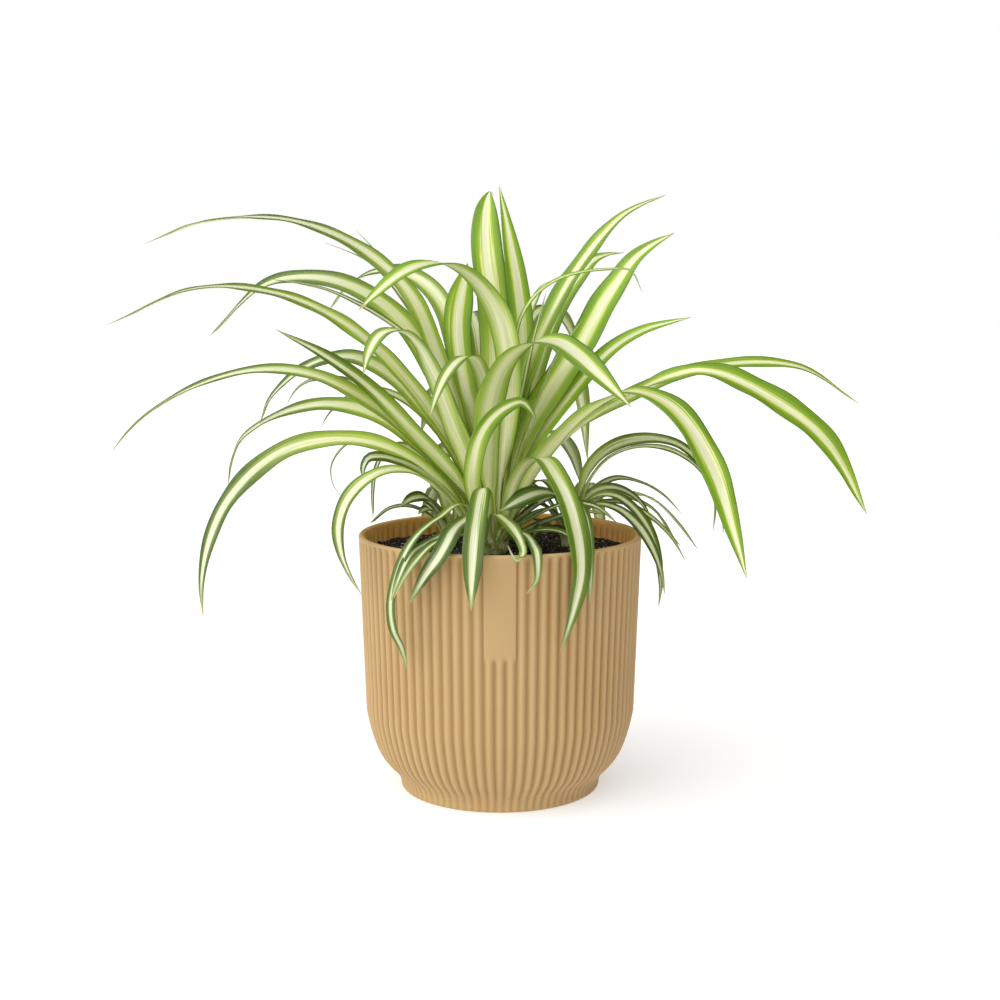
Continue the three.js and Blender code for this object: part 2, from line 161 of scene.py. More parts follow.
# ---- the pot ----
# One thin shell of sand-coloured polypropylene, injection moulded in one shot. Half-round ribs run
# up its wall inside and out, apart from a smooth panel at the front, and it stands on a small foot.
_, POT_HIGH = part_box("pot")
POT_HEIGHT = POT_HIGH.z / MM
RIM_RADIUS = POT_HIGH.x / MM
BODY_RADIUS = 67.9  # where the rounded body meets the straight wall
BODY_START = 41.0  # the height of that place
BODY_BENDS = [(53.2, 14.5), (62.3, 8.5)]  # (radius, height) that the body's curve bends towards
FOOT_RADIUS = 50.6
FOOT_HEIGHT = 3.5
FOOT_ROUND = 2.2
WALL = 3.0
LIP_ROUND = 1.5
UNDERSIDE_RECESS = 0.8
RIB_COUNT = 83
RIB_DEPTH = 1.2
INNER_RIBS = 0.8  # depth of the ribs on the inside, as a share of those outside
INNER_RIBS_LET_IN = 0.4  # share of an inner rib's depth that is let into the wall
SIDES_PER_RIB = 10
RIB_CROWDING = 1.1  # how strongly the sides of a rib crowd towards its grooves
PANEL_RIBS = 3
PANEL_BOTTOM = 78.0
PANEL_RUNOUT = 4.0  # height over which the ribs rise out of the panel's lower end
PANEL_LEVEL = 0.25  # how deep the panel lies under the crests, as a share of a groove's depth
PANEL_EDGE = 60  # how sharply the panel drops into the grooves beside it
SAND = "#BB9D6C"
SAND_WARM = "#B69663"
# painted shade: the darker brown that the grooves are coloured towards
GROOVE_PAINTED_SHADE = "#8A6329"
# painted light: the inner wall's colour, brighter and more orange than the plastic outside
SAND_INSIDE_PAINTED_LIGHT = "#EEB463"
PLASTIC_CLOUDS = 45  # mm across the soft clouds in its colour
PLASTIC_GRAIN = 0.55


def turned(name, rings, sides):
    """A round shell: a circle at the first ring, extruded to each ring of (radius, height) in mm."""
    bpy.ops.object.select_all(action="DESELECT")
    radius, height = rings[0]
    bpy.ops.mesh.primitive_circle_add(vertices=sides, radius=radius * MM)
    piece = bpy.context.object
    piece.name = name
    bpy.ops.object.mode_set(mode="EDIT")
    bpy.ops.mesh.select_all(action="SELECT")
    bpy.ops.transform.translate(value=(0, 0, height * MM))
    for next_radius, next_height in rings[1:]:
        rise = (next_height - height) * MM
        bpy.ops.mesh.extrude_region_move(TRANSFORM_OT_translate={"value": (0, 0, rise)})
        grow = next_radius / radius
        bpy.ops.transform.resize(value=(grow, grow, 1), center_override=(0, 0, next_height * MM))
        radius, height = next_radius, next_height
    bpy.ops.object.mode_set(mode="OBJECT")
    return piece


def close_poles(piece, sides):
    """Draws the first and last ring of a turned shell together to a point, and turns its faces out."""
    for first in (len(piece.data.vertices) - sides, 0):
        for vertex in piece.data.vertices:
            vertex.select = first <= vertex.index < first + sides
        for edge in piece.data.edges:
            edge.select = False
        for face in piece.data.polygons:
            face.select = False
        bpy.ops.object.mode_set(mode="EDIT")
        bpy.ops.mesh.select_mode(type="VERT")
        bpy.ops.mesh.merge(type="CENTER")
        bpy.ops.object.mode_set(mode="OBJECT")
    bpy.ops.object.mode_set(mode="EDIT")
    bpy.ops.mesh.select_all(action="SELECT")
    bpy.ops.mesh.normals_make_consistent(inside=False)
    bpy.ops.object.mode_set(mode="OBJECT")
    bpy.ops.object.shade_smooth()


def wall_radius(height):
    """The straight wall's outer radius at a height."""
    rise = (height - BODY_START) / (POT_HEIGHT - BODY_START)
    return BODY_RADIUS + (RIM_RADIUS - BODY_RADIUS) * rise


def rounded_body(inset, steps):
    """The curve from the foot out to the straight wall, moved in by the inset."""
    bends = [(FOOT_RADIUS, FOOT_HEIGHT), *BODY_BENDS, (BODY_RADIUS, BODY_START)]
    points = []
    for step in range(steps + 1):
        t = step / steps
        shares = ((1 - t) ** 3, 3 * t * (1 - t) ** 2, 3 * t * t * (1 - t), t ** 3)
        radius = sum(share * bend[0] for share, bend in zip(shares, bends)) - inset
        height = sum(share * bend[1] for share, bend in zip(shares, bends)) + inset
        points.append((radius, height))
    return points


def arc(centre_radius, centre_height, radius, start, end, steps):
    """Points on an arc of the profile, from one angle to another in degrees."""
    angles = [math.radians(start + (end - start) * step / steps) for step in range(steps + 1)]
    return [(centre_radius + radius * math.cos(a), centre_height + radius * math.sin(a)) for a in angles]


def pot_rings():
    """The pot's profile from under its middle, round the foot and the lip, to the inner floor, with
    how deep the ribs are at each ring: positive outside, negative inside and 0 where it is plain."""
    under = [(8.0, UNDERSIDE_RECESS), (44.0, UNDERSIDE_RECESS), (45.2, 0.2), (46.2, 0.0)]
    foot = arc(FOOT_RADIUS - FOOT_ROUND, FOOT_ROUND, FOOT_ROUND, -90, 20, 7)
    body = rounded_body(0, 24)[1:]
    wall_heights = [47, 53, 59, 65, 71, 76, 78, 79, 80, 81, 82, 86, 92, 98, 104, 112, 119, 123, 126]
    wall = [(wall_radius(height), height) for height in wall_heights]
    lip_height = POT_HEIGHT - LIP_ROUND
    lip_middle = RIM_RADIUS - LIP_ROUND
    lip = [(RIM_RADIUS - 0.05, lip_height - 0.8)] + arc(lip_middle, lip_height, LIP_ROUND, 0, 180, 10)
    inner_heights = [127.5, 126.5, 125, 123, 121, 119, 116, 112, 100, 80, 60]
    inner = [(wall_radius(height) - WALL, height) for height in inner_heights]
    bottom = rounded_body(WALL, 10)[::-1] + [(8.0, FOOT_HEIGHT + WALL)]
    # the ribs rise out of the foot, are full from part way up the body and run out under the lip
    rings = [(ring, 0.0) for ring in under]
    rings += [(ring, 0.45 * min(1, step / 4)) for step, ring in enumerate(foot)]
    rings += [(ring, 0.55 + 0.45 * min(1, step / 9)) for step, ring in enumerate(body)]
    rings += [(ring, 1.0) for ring in wall]
    rings += [(lip[0], 0.75), (lip[1], 0.35)] + [(ring, 0.0) for ring in lip[2:]]
    rings += [(ring, -INNER_RIBS * min(1, (step + 1) / 3)) for step, ring in enumerate(inner)]
    rings += [(ring, 0.0) for ring in bottom]
    return rings


def press_ribs(pot, depths, sides):
    """Moves each point of the shell to its place on a rib. Notes how deep in a groove it lies, for the
    painted shade in the grooves, and whether it is on the inside of the wall, for the painted light there."""
    pitch = 2 * math.pi / RIB_COUNT
    grooves = np.zeros(len(pot.data.vertices))
    inside = np.zeros(len(pot.data.vertices))
    for vertex in pot.data.vertices:
        x, y, z = vertex.co
        depth = depths[vertex.index // sides]
        place = math.atan2(x, -y) / pitch  # counted in ribs from the middle of the front
        rib = round(place)
        aside = (place - rib) * 2
        aside = math.copysign(1 - (1 - min(abs(aside), 1)) ** RIB_CROWDING, aside)
        angle = (rib + aside / 2) * pitch
        from_front = abs(angle) / (PANEL_RIBS * pitch / 2)
        ribbed = 0.35 * (1 - math.cos(math.pi * aside)) + 0.3 * aside * aside
        if from_front < 1.001 and depth > 0:
            above = min(max((z / MM - PANEL_BOTTOM) / PANEL_RUNOUT, 0), 1)
            smooth_panel = PANEL_LEVEL + (1 - PANEL_LEVEL) * from_front ** PANEL_EDGE
            ribbed += (smooth_panel - ribbed) * above * above * (3 - 2 * above)
        radius = math.hypot(x, y)
        from_outside = wall_radius(z / MM) - radius / MM
        relief = -ribbed * depth if depth > 0 else (ribbed - INNER_RIBS_LET_IN) * depth
        radius += relief * RIB_DEPTH * MM
        vertex.co = (radius * math.sin(angle), -radius * math.cos(angle), z)
        # how deep in a groove, for the painted shade that darkens the grooves
        grooves[vertex.index] = max(ribbed, 0) ** 1.5 * abs(depth)
        # the inside of the wall, where light is painted into its colour and glow
        within = z / MM > BODY_START and from_outside > 0.7 * WALL
        inside[vertex.index] = 1.0 if depth < 0 or within else 0.0
    for fact, values in (("groove", grooves), ("inside", inside)):
        layer = pot.data.attributes.new(fact, "FLOAT", "POINT")
        layer.data.foreach_set("value", values)


def moulded_polypropylene():
    """Pigmented polypropylene from a lightly etched mould: matt, even and a little waxy. The eye gets
    a broad soft sheen down each rib, with a fine grain. The grooves are painted darker and warmer:
    painted shade. Inside, a brighter colour and a faint glow are painted light, as if let through the wall."""
    finish, tree = new_finish("moulded_sand_polypropylene")
    place = add(tree, "ShaderNodeTexCoord").outputs["Object"]
    clouds = add(tree, "ShaderNodeTexNoise", {
        "Vector": place, "Scale": 1 / (PLASTIC_CLOUDS * MM), "Detail": 1.0})
    sand = add(tree, "ShaderNodeValToRGB", {"Fac": clouds.outputs["Fac"]},
               stops=[(0.25, SAND_WARM), (0.75, SAND)])
    inside = add(tree, "ShaderNodeAttribute", attribute_name="inside")
    wall = add(tree, "ShaderNodeMix", {
        "Factor": inside.outputs["Fac"], "A": sand.outputs["Color"], "B": colour(SAND_INSIDE_PAINTED_LIGHT)},
        data_type="RGBA")
    # the grooves are painted darker and browner: painted shade
    groove = add(tree, "ShaderNodeAttribute", attribute_name="groove")
    shade = add(tree, "ShaderNodeMath", {0: groove.outputs["Fac"], 1: 0.75}, operation="MULTIPLY")
    body = add(tree, "ShaderNodeMix", {
        "Factor": shade.outputs[0], "A": wall.outputs[2], "B": colour(GROOVE_PAINTED_SHADE)},
        data_type="RGBA")
    grain = add(tree, "ShaderNodeTexNoise", {
        "Vector": place, "Scale": 1 / (PLASTIC_GRAIN * MM), "Detail": 3.0, "Roughness": 0.6})
    relief = add(tree, "ShaderNodeBump", {
        "Height": grain.outputs["Fac"], "Strength": 0.22, "Distance": 0.05 * MM})
    gloss = add(tree, "ShaderNodeMapRange", {
        "Value": grain.outputs["Fac"], "From Min": 0.3, "From Max": 0.7, "To Min": 0.5, "To Max": 0.62})
    # the inner wall glows a little though no lamp is there: painted light
    painted_inner_glow = add(tree, "ShaderNodeMath", {0: inside.outputs["Fac"], 1: 0.06}, operation="MULTIPLY")
    skin = add(tree, "ShaderNodeBsdfPrincipled", {
        "Base Color": body.outputs[2], "Roughness": gloss.outputs[0], "IOR": 1.49,
        "Emission Color": body.outputs[2], "Emission Strength": painted_inner_glow.outputs[0],
        "Normal": relief.outputs["Normal"], "Subsurface Weight": 0.06, "Subsurface Scale": 1.2 * MM})
    add(tree, "ShaderNodeOutputMaterial", {"Surface": skin.outputs["BSDF"]})
    return finish


pot_sides = RIB_COUNT * SIDES_PER_RIB
rings_and_depths = pot_rings()
pot = turned("ribbed_pot", [ring for ring, depth in rings_and_depths], pot_sides)
press_ribs(pot, [depth for ring, depth in rings_and_depths], pot_sides)
close_poles(pot, pot_sides)
pot.data.materials.append(moulded_polypropylene())
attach(pot, "root")
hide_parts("pot")

# ---- the soil ----
# Moist dark potting mix of peat and fine bark. It was tipped in round the roots and pressed down by
# hand to about a centimetre below the lip, so its top is level but crumbly.
_, SOIL_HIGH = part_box("soil")
SOIL_TOP = SOIL_HIGH.z / MM
SOIL_CLEARANCE = 0.3
SOIL_SIDES = 192
SOIL_SINK = 0.2  # how far its level lies below the flat top it would have if pressed smooth
SOIL_CLIMB = 1.5  # how much higher the soil lies at the wall than in the middle
SOIL_RELIEF = (  # lumps, crumbs and grains: size in mm, place in the noise and height in mm
    (9, 3.1, 0.6), (2.6, 8.7, 0.75), (1.1, 1.9, 0.4))
CRUMB_COUNT = 5200
CRUMB_SIZES = (0.25, 1.25, 0.5)  # least, greatest and commonest size in mm
CRUMB_FLATNESS = (0.6, 1.0)  # height of a bit, as a share of its size
GRIT_COUNT = 5000
GRIT_SIZES = (0.18, 0.6, 0.32)
GRIT_FLATNESS = (0.5, 0.9)
BITS_OFF_WALL = 1.2  # how far the loose bits' middles stay from the wall of the soil
PEAT_CLUMPS = 2.4  # sizes in mm of the patterns in the peat, and of the grains on a loose bit
PEAT_GRAINS = 0.7
BIT_GRAINS = 0.5
PEAT_DARK = "#070506"
PEAT = "#151011"
BARK = "#43302B"
GRIT_PALE = "#EDE4E0"
GRIT_BROWN = "#5E4741"


def soil_height(x, y):
    """The height in mm of the soil's top at a place in mm: level, with lumps and crumbs."""
    edge = RIM_RADIUS - WALL - SOIL_CLEARANCE
    away = min(math.hypot(x, y) / edge, 1)
    height = SOIL_TOP - SOIL_SINK + SOIL_CLIMB * away ** 6
    for size, layer, rise in SOIL_RELIEF:
        height += rise * noise.noise(Vector((x / size, y / size, layer)))
    return height


def soil_body():
    """The soil from the pot's floor up its wall, and in over its rough top to the middle."""
    clear = WALL + SOIL_CLEARANCE
    edge = wall_radius(SOIL_TOP) - clear
    rings = [(6.0, FOOT_HEIGHT + clear)] + rounded_body(clear, 8)
    rings += [(wall_radius(height) - clear, height) for height in (60, 80, 100, 112)]
    top_from = len(rings)
    top_rings = 60
    rings += [(edge * (1 - 0.975 * step / top_rings), SOIL_TOP - 1) for step in range(top_rings + 1)]
    body = turned("potting_soil", rings, SOIL_SIDES)
    for vertex in body.data.vertices:
        if vertex.index // SOIL_SIDES >= top_from:
            vertex.co.z = soil_height(vertex.co.x / MM, vertex.co.y / MM) * MM
    close_poles(body, SOIL_SIDES)
    return body


def scatter(name, count, sizes, flatness, seed):
    """Small irregular bits strewn over the soil, each a roughened 42-point ball, in one mesh."""
    luck = random.Random(seed)
    bpy.ops.object.select_all(action="DESELECT")
    bpy.ops.mesh.primitive_ico_sphere_add(subdivisions=1, radius=1)
    piece = bpy.context.object
    piece.name = name
    ball = np.array([vertex.co for vertex in piece.data.vertices])
    ball_faces = np.array([list(face.vertices) for face in piece.data.polygons])
    points, faces, shades = [], [], []
    reach = wall_radius(SOIL_TOP) - WALL - SOIL_CLEARANCE - BITS_OFF_WALL
    for _ in range(count):
        away = reach * math.sqrt(luck.random())
        angle = luck.uniform(0, 2 * math.pi)
        x, y = away * math.cos(angle), away * math.sin(angle)
        size = luck.triangular(*sizes)
        rough = np.array([[luck.uniform(0.7, 1.25)] for _ in ball])
        stretch = np.array([luck.uniform(0.8, 1.6), luck.uniform(0.7, 1.1), luck.uniform(*flatness)])
        turn, tip = luck.uniform(0, math.pi), luck.uniform(-0.5, 0.5)
        shape = ball * rough * stretch * size
        tipped = shape.copy()
        tipped[:, 1] = shape[:, 1] * math.cos(tip) - shape[:, 2] * math.sin(tip)
        tipped[:, 2] = shape[:, 1] * math.sin(tip) + shape[:, 2] * math.cos(tip)
        spun = tipped.copy()
        spun[:, 0] = tipped[:, 0] * math.cos(turn) - tipped[:, 1] * math.sin(turn)
        spun[:, 1] = tipped[:, 0] * math.sin(turn) + tipped[:, 1] * math.cos(turn)
        spun += (x, y, soil_height(x, y) + size * 0.2)
        faces.extend((ball_faces + len(points) * len(ball)).tolist())
        points.append(spun * MM)
        shades.extend([luck.random()] * len(ball))
    old = piece.data
    piece.data = bpy.data.meshes.new(name)
    piece.data.from_pydata(np.concatenate(points).tolist(), [], faces)
    bpy.data.meshes.remove(old)
    layer = piece.data.attributes.new("shade", "FLOAT", "POINT")
    layer.data.foreach_set("value", shades)
    return piece


def moist_peat():
    """Peat and composted bark: almost black when moist, with a dull, broken surface that shows no
    sheen, only small lighter crumbs where it has begun to dry."""
    finish, tree = new_finish("moist_peat_and_bark")
    place = add(tree, "ShaderNodeTexCoord").outputs["Object"]
    clumps = add(tree, "ShaderNodeTexNoise", {
        "Vector": place, "Scale": 1 / (PEAT_CLUMPS * MM), "Detail": 5.0})
    peat = add(tree, "ShaderNodeValToRGB", {"Fac": clumps.outputs["Fac"]},
               stops=[(0.35, PEAT_DARK), (0.58, PEAT), (0.74, BARK)])
    grains = add(tree, "ShaderNodeTexNoise", {
        "Vector": place, "Scale": 1 / (PEAT_GRAINS * MM), "Detail": 4.0})
    relief = add(tree, "ShaderNodeBump", {
        "Height": grains.outputs["Fac"], "Strength": 0.8, "Distance": 0.5 * MM})
    skin = add(tree, "ShaderNodeBsdfPrincipled", {
        "Base Color": peat.outputs["Color"], "Roughness": 0.85, "Specular IOR Level": 0.35,
        "Normal": relief.outputs["Normal"]})
    add(tree, "ShaderNodeOutputMaterial", {"Surface": skin.outputs["BSDF"]})
    return finish


def loose_bits(name, stops, roughness):
    """Crumbs and grit, each bit of its own shade between the given stops."""
    finish, tree = new_finish(name)
    shade = add(tree, "ShaderNodeAttribute", attribute_name="shade")
    place = add(tree, "ShaderNodeTexCoord").outputs["Object"]
    tint = add(tree, "ShaderNodeValToRGB", {"Fac": shade.outputs["Fac"]}, stops=stops)
    grains = add(tree, "ShaderNodeTexNoise", {
        "Vector": place, "Scale": 1 / (BIT_GRAINS * MM), "Detail": 3.0})
    relief = add(tree, "ShaderNodeBump", {
        "Height": grains.outputs["Fac"], "Strength": 0.6, "Distance": 0.2 * MM})
    skin = add(tree, "ShaderNodeBsdfPrincipled", {
        "Base Color": tint.outputs["Color"], "Roughness": roughness, "Specular IOR Level": 0.4,
        "Normal": relief.outputs["Normal"]})
    add(tree, "ShaderNodeOutputMaterial", {"Surface": skin.outputs["BSDF"]})
    return finish


soil = soil_body()
soil.data.materials.append(moist_peat())
crumbs = scatter("soil_crumbs", CRUMB_COUNT, CRUMB_SIZES, CRUMB_FLATNESS, "crumbs")
crumbs.data.materials.append(loose_bits("peat_crumbs", [
    (0.0, PEAT_DARK), (0.6, PEAT), (1.0, BARK)], 0.45))
grit = scatter("soil_grit", GRIT_COUNT, GRIT_SIZES, GRIT_FLATNESS, "grit")
grit.data.materials.append(loose_bits("bark_fibre_and_grit", [
    (0.0, BARK), (0.5, GRIT_BROWN), (0.9, GRIT_PALE)], 0.6))
for piece in (soil, crumbs, grit):
    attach(piece, "root")
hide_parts("soil")

# ---- the crowns ----
# Each crown is the short stem where the leaves meet the soil. It is wrapped all round in pale,
# overlapping leaf bases, so it reads as one stout bundle that swells just above the soil.
CROWN_SIDES = 72
CROWN_STEPS = 26
CROWN_SINK = 1.5  # how far a stem reaches down into the soil
CROWN_VEINS = 1.1  # mm across the green veins
OFFSET_SLIMNESS = 0.75  # how slim an offset's stem is in its place, next to the main one
CROWN_PALE = "#E2EDB2"
CROWN_GREEN = "#A6C763"


def crown_stem(name, node, slimness):
    """A swelling stem with upright folds, where one wrapped leaf base lies over the next."""
    low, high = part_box(node)
    middle = (low + high) / 2
    foot_radius = (high.x - low.x) / 2 / MM
    rise = (high.z - low.z) / MM
    rings = []
    for step in range(CROWN_STEPS + 1):
        share = step / CROWN_STEPS
        # it swells until a seventh of the way up, then tapers, and its top is rounded over
        belly = 0.70 + 0.28 * math.sin(math.pi * min(share / 0.4, 1) ** 0.8)
        radius = foot_radius * (belly - 0.45 * share ** 1.2) * slimness
        radius *= math.sqrt(max(1 - max((share - 0.7) / 0.3, 0) ** 2, 0.004))
        rings.append((radius, low.z / MM - CROWN_SINK + rise * (0.66 + 0.3 * slimness) * share))
    stem = turned(name, rings, CROWN_SIDES)
    for vertex in stem.data.vertices:
        angle = math.atan2(vertex.co.y, vertex.co.x)
        up = (vertex.co.z - low.z) / (high.z - low.z)
        fold = abs(math.sin(3.5 * angle + 2.2 * up)) ** 0.5
        shrink = 0.9 + 0.1 * fold
        vertex.co.x = vertex.co.x * shrink + middle.x
        vertex.co.y = vertex.co.y * shrink + middle.y
    close_poles(stem, CROWN_SIDES)
    return stem


def living_stem():
    """Young leaf-base tissue: full of water and nearly without green, so it looks pale and satin,
    with fine upright veins of green."""
    finish, tree = new_finish("pale_leaf_base_tissue")
    place = add(tree, "ShaderNodeTexCoord").outputs["Object"]
    drawn = add(tree, "ShaderNodeMapping", {"Vector": place, "Scale": (1, 1, 0.08)})
    veins = add(tree, "ShaderNodeTexNoise", {
        "Vector": drawn.outputs["Vector"], "Scale": 1 / (CROWN_VEINS * MM), "Detail": 3.0})
    tint = add(tree, "ShaderNodeValToRGB", {"Fac": veins.outputs["Fac"]},
               stops=[(0.36, CROWN_GREEN), (0.56, CROWN_PALE)])
    relief = add(tree, "ShaderNodeBump", {
        "Height": veins.outputs["Fac"], "Strength": 0.3, "Distance": 0.3 * MM})
    skin = add(tree, "ShaderNodeBsdfPrincipled", {
        "Base Color": tint.outputs["Color"], "Roughness": 0.42, "Subsurface Weight": 0.25,
        "Subsurface Scale": 2.0 * MM, "Normal": relief.outputs["Normal"]})
    add(tree, "ShaderNodeOutputMaterial", {"Surface": skin.outputs["BSDF"]})
    return finish


CROWNS = {}  # name: (axis x, axis y, radius at the soil), in mm
stem_finish = living_stem()
for place in ("main", "left", "right"):
    low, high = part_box(f"crown_{place}")
    CROWNS[place] = ((low.x + high.x) / 2 / MM, (low.y + high.y) / 2 / MM, (high.x - low.x) / 2 / MM)
    slimness = 1.0 if place == "main" else OFFSET_SLIMNESS
    stem = crown_stem(f"stem_{place}", f"crown_{place}", slimness)
    stem.data.materials.append(stem_finish)
    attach(stem, "root")
    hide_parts(f"crown_{place}")

# ---- the leaves ----
# Each leaf is one long strap of living tissue, channelled along its midrib and a cream stripe wide
# down the middle. It wraps the crown at the soil, arches over and tapers to a fine, often dry tip.
ACROSS_CELLS = 14
ROW_LENGTH = 2.6
MIDRIB_THICKNESS = 0.75
MARGIN_SHARE = 0.36  # thickness at the margins, as a share of the midrib's
TIP_WIDTH = 0.3
CROWN_WRAP = 6.0  # radius in mm that the wrapped bases curl to
SHEATH_WIDTH = 1.5  # width of a leaf's wrapped base, as a share of its crown's radius
SHEATH_SINK = 0.8  # how far below the soil's top a wrapped base starts
KEEL_DROP = 0.06  # how far the midrib hangs under a leaf's line, as a share of its width
BASE_FOLD = math.radians(38)
MIDDLE_FOLD = math.radians(14)
TIP_FOLD = math.radians(20)
MARGIN_CURL = (10, 26)  # degrees by which the margins turn down, least and most
MARGIN_WAVE = 0.028  # height of the waves along the margins, as a share of a leaf's width
WAVE_LENGTHS = (26, 44)  # mm from one wave to the next, least and most
MIDRIB_SPREAD = 0.28  # how far the midrib's thickness spreads, as a share of half the width
SLENDER_BELOW = 5.0  # width in mm under which a leaf begins to lose its stripe
SLENDER_OVER = 3.5  # how much narrower it is where the stripe is lost
DRY_TIPS = (0.0, 0.0, 0.012, 0.03)  # share of its length that a leaf may be dry at its tip
VEINS_ACROSS = 9.0  # how often the veins and the fine threads between them change over half a width
THREADS_ACROSS = 30.0
VEINS_ALONG = 0.012  # and how often in a millimetre of length
THREADS_ALONG = 0.02
LEAF_CREAM = "#E9ECC8"
LEAF_LIME = "#CDD766"
LEAF_GREEN = "#8EAE2C"
LEAF_DEEP = "#648E1C"
OLIVE_CREAM = "#D6DCB8"
OLIVE_GREEN = "#627A34"
OLIVE_DEEP = "#2F4413"
UNDER_CREAM = "#D6D9B2"
UNDER_GREEN = "#ABBE6C"
UNDER_EDGE = "#85A044"
BASE_CREAM = "#EDF2B4"
BASE_LIME = "#D2E07E"
BASE_EDGE = "#A9C84C"
VEIN_GREY = "#7F8550"
SLENDER_OLIVE = "#8F9D62"
# painted shade: the thin dark line along each margin, where the folded edge is in shadow
MARGIN_PAINTED_SHADE = "#4E6826"
LEAF_DRY = "#A98F5E"
LOOKS = {  # how olive each group of leaves is near and far, its stripe's share, how pale its base is
    "leaf_top": (0.05, 0.05, 0.33, 0.9), "leaf_right": (0.1, 0.1, 0.28, 0.8),
    "leaf_left": (0.25, 0.95, 0.36, 0.95), "leaf_front": (0.2, 0.35, 0.38, 0.9),
    "leaf_back": (0.55, 1.0, 0.33, 0.7), "small_left": (0.9, 1.0, 0.34, 0.5),
    "small_right": (0.8, 0.9, 0.34, 0.5), "young_leaf": (0.85, 0.95, 0.34, 0.5),
    "over_rim": (0.75, 0.95, 0.3, 0.5), "fresh_rim": (0.4, 0.7, 0.34, 0.55)}
OVER_RIM = [f"leaf_front_{number:02d}" for number in (6, 8, 9, 10)]
FRESH_RIM = [f"leaf_front_{number:02d}" for number in (5, 7, 11)]
SLIMMER = {  # share of its full width that a leaf shows
    "leaf_front_05": 0.86, "leaf_front_07": 0.78, "leaf_front_08": 0.72, "leaf_front_09": 0.72,
    "leaf_front_10": 0.8, "leaf_front_11": 0.86}
CRESTS = {  # mm over which a leaf narrows to its crest and widens again, and the least share
    "leaf_top_01": (22.0, 900.0, 0.25), "leaf_front_05": (30.0, 13.0, 0.45)}
CURLED_TIPS = {  # share of its width at each of the last rings, where a tip curls up
    "leaf_front_07": (0.85, 0.62, 0.5, 0.42)}


def stations_of(node):
    """The centre, up direction and width of a leaf at each ring of its solid, from base to tip. The
    tip is the corner from which each step along the edges reaches four new corners, close together."""
    solid = bmesh.new()
    solid.from_mesh(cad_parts[node].data)
    bmesh.ops.remove_doubles(solid, verts=solid.verts, dist=0.005 * MM)
    chains = []
    for tip in solid.verts:
        if len(tip.link_edges) != 4:
            continue
        seen, layers = {tip}, [[tip]]
        while layers[-1]:
            reached = {edge.other_vert(corner) for corner in layers[-1] for edge in corner.link_edges}
            layers.append(list(reached - seen))
            seen |= reached
        rings = layers[1:-1]
        if all(len(ring) == 4 for ring in rings):
            spread = sum((corner.co - ring[0].co).length for ring in rings for corner in ring)
            chains.append((spread, tip.co.copy(), rings))
    _, end, found = min(chains, key=lambda chain: chain[0])
    stations = []
    for layer in reversed(found):
        corners = sorted((corner.co.copy() for corner in layer), key=lambda c: tuple(c))
        pairs = [(a, b) for i, a in enumerate(corners) for b in corners[i + 1:]]
        margin = max(pairs, key=lambda pair: (pair[0] - pair[1]).length)
        keel = [corner for corner in corners if corner not in margin]
        width = (margin[0] - margin[1]).length / MM
        middle = (margin[0] + margin[1]) / 2
        bottom = (keel[0] + keel[1]) / 2
        stations.append([*((middle + bottom) / 2 / MM), *((middle - bottom).normalized()), width])
    stations.append([*(end / MM), *stations[-1][3:6], TIP_WIDTH])
    solid.free()
    return np.array(stations)


def sheathed(stations, crown):
    """Carries a leaf's base down inside the bundle to the soil, wider and curled round the crown."""
    axis_x, axis_y, radius = CROWNS[crown]
    outward = stations[0, :2] - (axis_x, axis_y)
    seat = np.linalg.norm(outward)
    outward = outward / seat
    ground = SOIL_TOP - SHEATH_SINK
    rise = stations[0, 2] - ground
    lowness = 1 - min(rise / (4 * radius), 1)
    foot = radius * (0.32 + 0.48 * lowness)
    width = SHEATH_WIDTH * radius
    added = []
    for share in (0.0, 0.5):
        reach = foot + (seat - foot) * share ** 1.3
        wide = width + (max(stations[0, 6], 0.3 * stations[:, 6].max()) - width) * share
        centre = (axis_x + outward[0] * reach, axis_y + outward[1] * reach, ground + rise * share)
        added.append([*centre, -outward[0], -outward[1], 0.0, wide])
    return np.vstack([added, stations])


def through(stations, lengths, at):
    """A smooth curve through a leaf's stations, read at distances along it."""
    steps = np.diff(lengths)[:, None]
    chords = np.diff(stations, axis=0) / steps
    slopes = np.empty_like(stations)
    slopes[1:-1] = (chords[:-1] * steps[1:] + chords[1:] * steps[:-1]) / (steps[1:] + steps[:-1])
    slopes[0], slopes[-1] = chords[0], chords[-1]
    i = np.clip(np.searchsorted(lengths, at, side="right") - 1, 0, len(lengths) - 2)
    h = steps[i]
    s = (at - lengths[i])[:, None] / h
    start = stations[i] * (1 + 2 * s) * (1 - s) ** 2 + slopes[i] * h * s * (1 - s) ** 2
    end = stations[i + 1] * s * s * (3 - 2 * s) - slopes[i + 1] * h * s * s * (1 - s)
    return start + end


def lengths_along(stations):
    """How far along the leaf each of its stations lies, in mm."""
    steps = np.linalg.norm(np.diff(stations[:, :3], axis=0), axis=1)
    return np.concatenate([[0], np.cumsum(steps)])


def rounded_crest(stations, run_up, run_down, least):
    """Narrows a leaf where it bends over, so that it shows a rounded end there."""
    lengths = lengths_along(stations)
    past = lengths - lengths[np.argmax(stations[:, 2])]
    near = 1 - np.clip(np.where(past < 0, -past / run_up, past / run_down), 0, 1)
    stations[:, 6] *= np.maximum(np.sqrt(1 - near ** 2), least)
    return stations


def eased(values, low, high):
    """0 below low, 1 above high and smooth between."""
    share = np.clip((values - low) / (high - low), 0, 1)
    return share * share * (3 - 2 * share)


